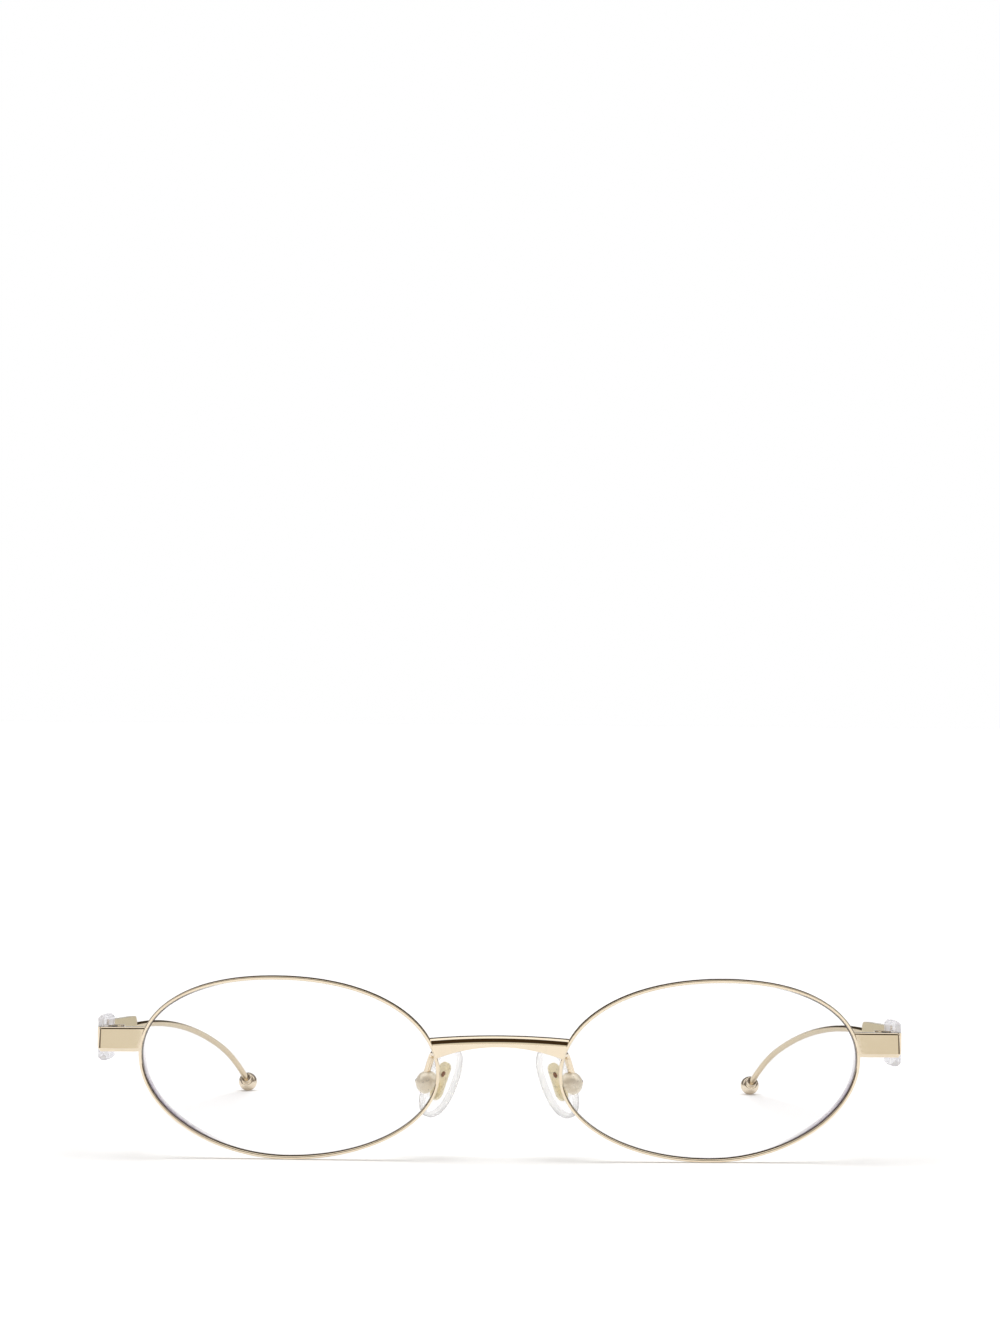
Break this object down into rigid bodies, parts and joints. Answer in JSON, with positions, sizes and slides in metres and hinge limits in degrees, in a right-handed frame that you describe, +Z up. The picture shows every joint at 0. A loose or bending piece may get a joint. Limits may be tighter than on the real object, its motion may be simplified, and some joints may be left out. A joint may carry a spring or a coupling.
{
  "type": "eyeglasses",
  "caption": "Oval metal wire eyeglasses with clear lenses, soft nose pads, clear blocks at the hinges, and thin folding temples that end in round beads.",
  "frame": {"origin": "middle of the box round the open glasses, at the level of the surface that the rims and tip beads rest on", "axes": "+X towards the wearer's left temple, +Y from the front back along the temples, +Z up"},
  "size_m": [0.1386, 0.138, 0.0317],
  "materials": {
    "gold": "polished pale gold plating",
    "pad_gold": "polished yellow gold plating",
    "screw_gold": "polished pale gold plating",
    "clear_lens": "clear, coated",
    "crystal": "clear, polished",
    "silicone": "clear, soft"
  },
  "bodies": {
    "front": {"bridge": "gold", "rim_left": "gold", "lens_left": "clear_lens", "end_piece_left": "gold", "closing_block_upper_left": "gold", "closing_block_lower_left": "gold", "closing_screw_left": "screw_gold", "hinge_screw_left": "screw_gold", "pad_arm_left": "gold", "pad_cup_left": "gold", "pad_screw_left": "screw_gold", "rim_right": "gold", "lens_right": "clear_lens", "end_piece_right": "gold", "closing_block_upper_right": "gold", "closing_block_lower_right": "gold", "closing_screw_right": "screw_gold", "hinge_screw_right": "screw_gold", "pad_arm_right": "gold", "pad_cup_right": "gold", "pad_screw_right": "screw_gold"},
    "left_temple": {"temple_hinge_left": "gold", "temple_bar_left": "gold", "crystal_block_left": "crystal", "crystal_pins_left": "gold", "temple_wire_left": "gold", "tip_bead_left": "gold"},
    "left_pad": {"nose_pad_left": "silicone", "pad_insert_left": "pad_gold"},
    "right_temple": {"temple_hinge_right": "gold", "temple_bar_right": "gold", "crystal_block_right": "crystal", "crystal_pins_right": "gold", "temple_wire_right": "gold", "tip_bead_right": "gold"},
    "right_pad": {"nose_pad_right": "silicone", "pad_insert_right": "pad_gold"}
  },
  "joints": [
    {"name": "temple_left_fold", "type": "hinge", "parent": "front", "child": "left_temple", "pos_m": [0.0657, -0.0604, 0.02035], "axis": [0, 0, 1], "range_deg": [0, 73]},
    {"name": "temple_right_fold", "type": "hinge", "parent": "front", "child": "right_temple", "pos_m": [-0.0657, -0.0604, 0.02035], "axis": [0, 0, -1], "range_deg": [0, 77]},
    {"name": "nose_pad_left_rock", "type": "hinge", "parent": "front", "child": "left_pad", "pos_m": [0.01257, -0.06244, 0.01321], "axis": [0.6691, 0.7431, 0], "range_deg": [-8, 8]},
    {"name": "nose_pad_right_rock", "type": "hinge", "parent": "front", "child": "right_pad", "pos_m": [-0.01257, -0.06244, 0.01321], "axis": [-0.6691, 0.7431, 0], "range_deg": [-8, 8]}
  ]
}
